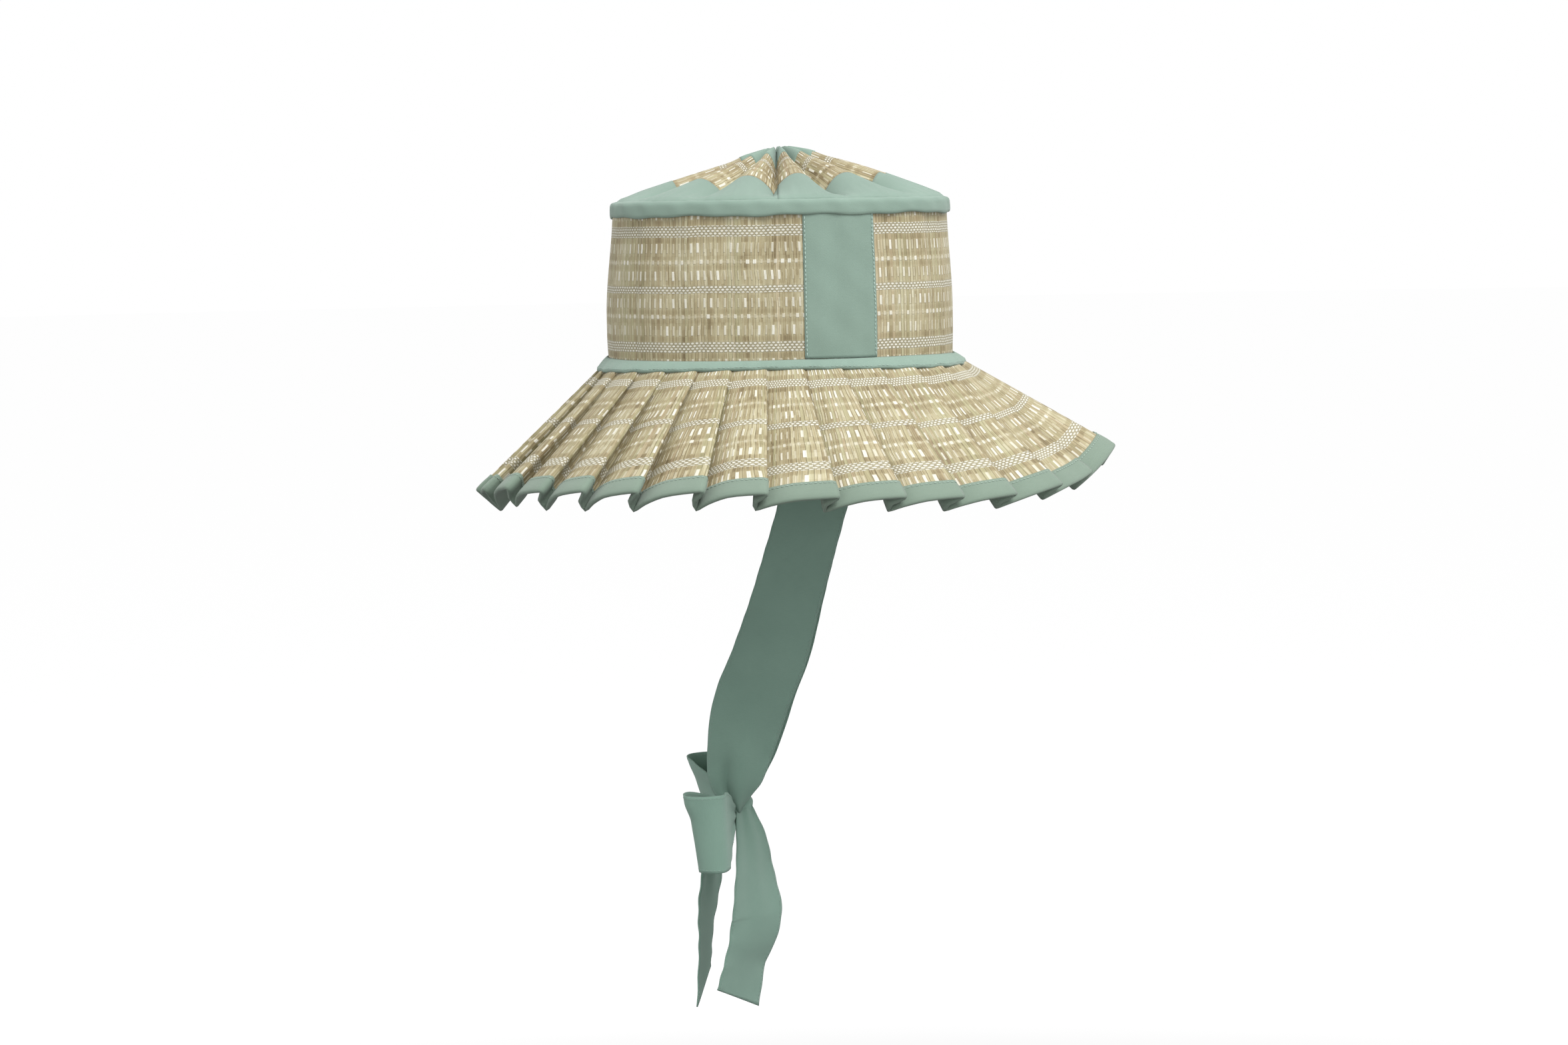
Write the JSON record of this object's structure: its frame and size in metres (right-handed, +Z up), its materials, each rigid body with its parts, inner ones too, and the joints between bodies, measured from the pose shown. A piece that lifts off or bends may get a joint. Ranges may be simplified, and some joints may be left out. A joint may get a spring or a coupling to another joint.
{
  "type": "pleated straw sun hat with chin ribbon",
  "caption": "Soft sun hat with an oval straw crown, a pleated top, a drooping pleated brim, cotton bands and a wide chin ribbon tied in a bow.",
  "frame": {"origin": "centre of the head opening, in the plane of the crown wall's lower edge", "axes": "+Z up through the crown, -Y to the front of the hat, +X to the wearer's left"},
  "size_m": [0.3209, 0.3644, 0.4988],
  "materials": {
    "straw": "matt woven straw with cream cotton rows",
    "trim": "matt cotton twill, sage green",
    "ribbon": "matt cotton twill, sage green"
  },
  "bodies": {
    "root": {"crown_side": "straw", "crown_top_straw": "straw", "brim": "straw", "crown_top_hem": "trim", "crown_top_gather": "trim", "top_band": "trim", "base_band": "trim", "side_panel_left": "trim", "side_panel_right": "trim", "brim_binding": "trim", "strap_left": "ribbon", "strap_right": "ribbon", "bow_knot": "ribbon", "bow_loop_left": "ribbon", "bow_loop_right": "ribbon", "bow_tail_left": "ribbon", "bow_tail_right": "ribbon"}
  },
  "joints": []
}
